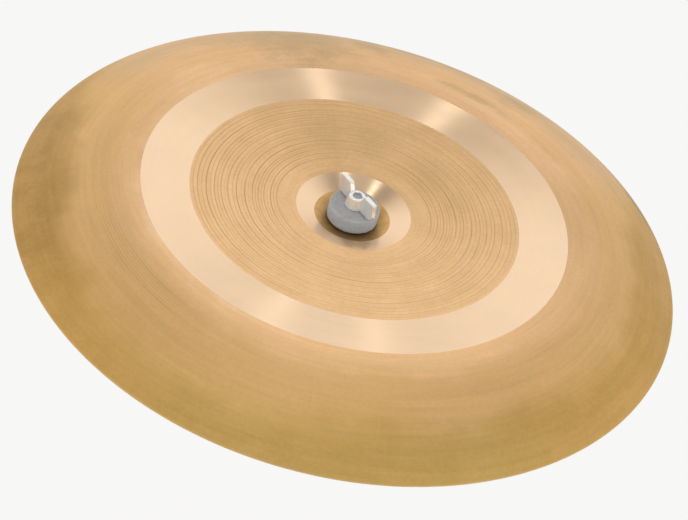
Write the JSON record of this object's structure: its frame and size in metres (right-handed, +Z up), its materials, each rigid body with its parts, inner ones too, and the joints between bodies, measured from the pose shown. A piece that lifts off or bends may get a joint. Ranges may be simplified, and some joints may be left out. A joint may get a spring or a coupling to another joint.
{
  "type": "china cymbal",
  "caption": "China cymbal of lathed bronze with a turned flange, hung bell down on a stand's threaded post between felts under a wing nut.",
  "frame": {"origin": "centre of the post's foot, where the rest of the stand carries on", "axes": "+Z up along the post and the cymbal's axis, +X to the right and +Y away from the picture's camera"},
  "size_m": [0.457, 0.457, 0.0733],
  "materials": {
    "bronze": "raw and lathed, with two polished rings",
    "chrome": "bright plating",
    "steel": "turned and zinc plated",
    "felt": "grey wool felt",
    "nylon": "matt"
  },
  "bodies": {
    "post": {"tilter_post": "steel", "seat_nut": "steel", "cup_washer": "steel", "sleeve": "nylon"},
    "top_felt": {"upper_felt": "felt"},
    "nut": {"wing_nut": "chrome"},
    "seat_felt": {"lower_felt": "felt"},
    "cymbal": {"china_cymbal": "bronze"}
  },
  "joints": [
    {"name": "nut_travel", "type": "slide", "parent": "post", "child": "top_felt", "axis": [0, 0, 1], "range_m": [0, 0.0025], "deforming": ["upper_felt"]},
    {"name": "nut_turn", "type": "hinge", "parent": "top_felt", "child": "nut", "pos_m": [0, 0, 0.05945], "axis": [0, 0, 1], "range_deg": [0, 720]},
    {"name": "cymbal_spin", "type": "hinge", "parent": "post", "child": "seat_felt", "pos_m": [0, 0, 0.045], "axis": [0, 0, 1], "continuous": true},
    {"name": "cymbal_rock", "type": "hinge", "parent": "seat_felt", "child": "cymbal", "pos_m": [0, 0, 0.0457], "axis": [1, 0, 0], "range_deg": [-12, 12], "stiffness_Nm_per_rad": 3, "deforming": ["lower_felt", "upper_felt"]}
  ],
  "couplings": [
    {"joint": "nut_travel", "follows": "nut_turn", "m_per_rad": 0.00019894}
  ]
}
